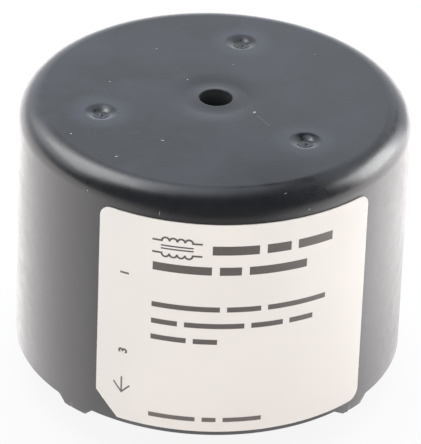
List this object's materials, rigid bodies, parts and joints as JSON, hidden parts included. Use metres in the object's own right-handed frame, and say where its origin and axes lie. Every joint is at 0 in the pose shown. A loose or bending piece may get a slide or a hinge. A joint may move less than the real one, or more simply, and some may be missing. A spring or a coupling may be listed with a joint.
{
  "type": "common mode choke",
  "caption": "Round potted common mode choke: a toroid with two windings cast in a plastic cup, with a centre screw hole and solder terminals underneath.",
  "frame": {"origin": "middle of the seating plane under the feet, on the axis of the centre hole", "axes": "+Z along the centre hole towards the closed top, the label faces -Y, and the terminals point down along -Z"},
  "size_m": [0.0516, 0.0518, 0.0407],
  "materials": {
    "housing": "black moulded plastic with a satin sheen",
    "ferrite": "sintered, dark grey, slightly rough",
    "core_case": "moulded green insulating plastic",
    "enamelled_copper": "copper under clear enamel, tinned at the terminals",
    "separator": "natural insulating sheet",
    "resin": "cast black resin with a glossy surface",
    "label": "warm white polyester film with grey print"
  },
  "bodies": {
    "root": {"housing_cup": "housing", "ferrite_core": "ferrite", "core_case_tray": "core_case", "core_case_lid": "core_case", "winding_1": "enamelled_copper", "winding_2": "enamelled_copper", "separator_left": "separator", "separator_right": "separator", "potting_resin": "resin", "rating_label": "label"}
  },
  "joints": []
}
